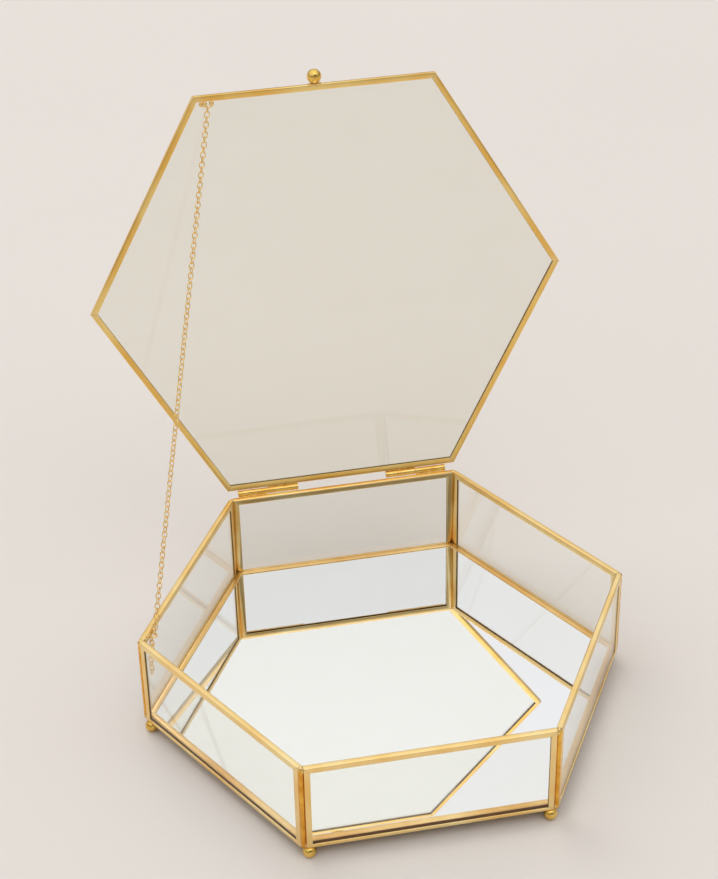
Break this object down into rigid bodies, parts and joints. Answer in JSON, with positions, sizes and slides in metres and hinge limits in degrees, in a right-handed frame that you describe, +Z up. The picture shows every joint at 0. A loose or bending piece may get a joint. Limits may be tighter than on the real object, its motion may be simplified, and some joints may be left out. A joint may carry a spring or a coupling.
{
  "type": "hexagonal glass card box",
  "caption": "Low hexagonal box of clear glass panes in brass channel, with a mirror base, ball feet and a hinged glass lid with a ball knob, held open by a chain.",
  "frame": {"origin": "centre of the box, on the plane that the ball feet stand on", "axes": "+X to the right, -Y to the front where the knob closes, +Y to the hinged side, +Z up; stored with the lid open against its chain"},
  "size_m": [0.2518, 0.276, 0.2795],
  "materials": {
    "brass": "polished folded channel, knobs, feet and hinges",
    "solder": "plated solder, slightly lumpy",
    "chain": "bright wire",
    "glass": "clear",
    "mirror": "silvered glass"
  },
  "bodies": {
    "box": {"wall_frame_front": "brass", "wall_frame_front_right": "brass", "wall_frame_back_right": "brass", "wall_frame_back": "brass", "wall_frame_back_left": "brass", "wall_frame_front_left": "brass", "wall_glass_front": "glass", "wall_glass_front_right": "glass", "wall_glass_back_right": "glass", "wall_glass_back": "glass", "wall_glass_back_left": "glass", "wall_glass_front_left": "glass", "base_frame": "brass", "base_mirror": "mirror", "corner_solder": "solder", "foot_front_left": "brass", "foot_front_right": "brass", "foot_right": "brass", "foot_back_right": "brass", "foot_back_left": "brass", "foot_left": "brass", "box_knuckle_left": "brass", "box_knuckle_right": "brass", "box_hinge_solder": "solder", "hinge_pin_left": "brass", "hinge_pin_right": "brass", "box_chain_eye": "brass", "box_eye_solder": "solder", "chain_tail": "chain"},
    "lid": {"lid_frame": "brass", "lid_glass": "glass", "lid_knuckle_left": "brass", "lid_knuckle_right": "brass", "lid_hinge_solder": "solder", "knob": "brass", "knob_solder": "solder", "lid_chain_eye": "brass", "lid_eye_solder": "solder"},
    "run_01": {"chain_run_01": "chain"},
    "run_02": {"chain_run_02": "chain"},
    "run_03": {"chain_run_03": "chain"},
    "run_04": {"chain_run_04": "chain"},
    "run_05": {"chain_run_05": "chain"},
    "run_06": {"chain_run_06": "chain"},
    "run_07": {"chain_run_07": "chain"},
    "run_08": {"chain_run_08": "chain"},
    "run_09": {"chain_run_09": "chain"},
    "run_10": {"chain_run_10": "chain"},
    "run_11": {"chain_run_11": "chain"},
    "run_12": {"chain_run_12": "chain"},
    "run_13": {"chain_run_13": "chain"},
    "run_14": {"chain_run_14": "chain"},
    "run_15": {"chain_run_15": "chain"},
    "run_16": {"chain_run_16": "chain"}
  },
  "joints": [
    {"name": "lid_hinge", "type": "hinge", "parent": "box", "child": "lid", "pos_m": [0, 0.11106, 0.0575], "axis": [1, 0, 0], "range_deg": [0, 102.7]},
    {"name": "chain_01", "type": "hinge", "parent": "box", "child": "run_01", "pos_m": [-0.11618, 0.00588, 0.0554], "axis": [-0.5235, 0.8499, -0.0607], "range_deg": [0, 71.2]},
    {"name": "chain_02", "type": "hinge", "parent": "run_01", "child": "run_02", "pos_m": [-0.11567, 0.00715, 0.05718], "axis": [0.4085, 0.9033, 0.1306], "range_deg": [0, 42.67]},
    {"name": "chain_03", "type": "hinge", "parent": "run_02", "child": "run_03", "pos_m": [-0.11509, 0.0086, 0.05921], "axis": [0.5056, 0.7902, 0.3464], "range_deg": [0, 41.15]},
    {"name": "chain_04", "type": "hinge", "parent": "run_03", "child": "run_04", "pos_m": [-0.11451, 0.01006, 0.06125], "axis": [0.2008, 0.9751, -0.0938], "range_deg": [0, 36.61]},
    {"name": "chain_05", "type": "hinge", "parent": "run_04", "child": "run_05", "pos_m": [-0.1116, 0.01733, 0.07143], "axis": [0.7786, -0.6224, 0.0805], "range_deg": [0, 24.74]},
    {"name": "chain_06", "type": "hinge", "parent": "run_05", "child": "run_06", "pos_m": [-0.10695, 0.02897, 0.08771], "axis": [0.7099, -0.4632, -0.5305], "range_deg": [0, 49.55]},
    {"name": "chain_07", "type": "hinge", "parent": "run_06", "child": "run_07", "pos_m": [-0.10229, 0.0406, 0.10399], "axis": [0.5816, -0.6974, -0.4187], "range_deg": [0, 41.85]},
    {"name": "chain_08", "type": "hinge", "parent": "run_07", "child": "run_08", "pos_m": [-0.09764, 0.05224, 0.12028], "axis": [0.2798, -0.9462, 0.1626], "range_deg": [0, 42.16]},
    {"name": "chain_09", "type": "hinge", "parent": "run_08", "child": "run_09", "pos_m": [-0.09299, 0.06388, 0.13656], "axis": [0.5157, -0.8249, 0.2315], "range_deg": [0, 37.08]},
    {"name": "chain_10", "type": "hinge", "parent": "run_09", "child": "run_10", "pos_m": [-0.08833, 0.07551, 0.15285], "axis": [0.8465, -0.0138, 0.5323], "range_deg": [0, 31.49]},
    {"name": "chain_11", "type": "hinge", "parent": "run_12", "child": "run_11", "pos_m": [-0.07903, 0.09879, 0.18541], "axis": [0.6563, -0.7425, -0.134], "range_deg": [0, 19.11]},
    {"name": "chain_12", "type": "hinge", "parent": "run_13", "child": "run_12", "pos_m": [-0.07438, 0.11042, 0.2017], "axis": [0.9119, -0.336, 0.2357], "range_deg": [0, 11.67]},
    {"name": "chain_13", "type": "hinge", "parent": "run_14", "child": "run_13", "pos_m": [-0.06972, 0.12206, 0.21798], "axis": [0.6627, -0.5184, 0.5404], "range_deg": [0, 46.27]},
    {"name": "chain_14", "type": "hinge", "parent": "run_15", "child": "run_14", "pos_m": [-0.06507, 0.1337, 0.23426], "axis": [0.2943, -0.5541, 0.7787], "range_deg": [0, 44.95]},
    {"name": "chain_15", "type": "hinge", "parent": "run_16", "child": "run_15", "pos_m": [-0.06042, 0.14534, 0.25055], "axis": [0.3218, -0.0644, 0.9446], "range_deg": [0, 42.56]},
    {"name": "chain_16", "type": "hinge", "parent": "lid", "child": "run_16", "pos_m": [-0.05584, 0.15679, 0.26658], "axis": [-0.9613, -0.1746, 0.2133], "range_deg": [0, 66.29]}
  ],
  "couplings": [
    {"joint": "chain_01", "follows": "lid_hinge", "ratio": 0.69307},
    {"joint": "chain_02", "follows": "lid_hinge", "ratio": 0.41528},
    {"joint": "chain_03", "follows": "lid_hinge", "ratio": 0.40047},
    {"joint": "chain_04", "follows": "lid_hinge", "ratio": 0.35629},
    {"joint": "chain_05", "follows": "lid_hinge", "ratio": 0.24073},
    {"joint": "chain_06", "follows": "lid_hinge", "ratio": 0.48226},
    {"joint": "chain_07", "follows": "lid_hinge", "ratio": 0.40726},
    {"joint": "chain_08", "follows": "lid_hinge", "ratio": 0.41027},
    {"joint": "chain_09", "follows": "lid_hinge", "ratio": 0.36084},
    {"joint": "chain_10", "follows": "lid_hinge", "ratio": 0.30639},
    {"joint": "chain_11", "follows": "lid_hinge", "ratio": 0.1859},
    {"joint": "chain_12", "follows": "lid_hinge", "ratio": 0.11343},
    {"joint": "chain_13", "follows": "lid_hinge", "ratio": 0.45033},
    {"joint": "chain_14", "follows": "lid_hinge", "ratio": 0.43753},
    {"joint": "chain_15", "follows": "lid_hinge", "ratio": 0.41418},
    {"joint": "chain_16", "follows": "lid_hinge", "ratio": 0.64527}
  ]
}
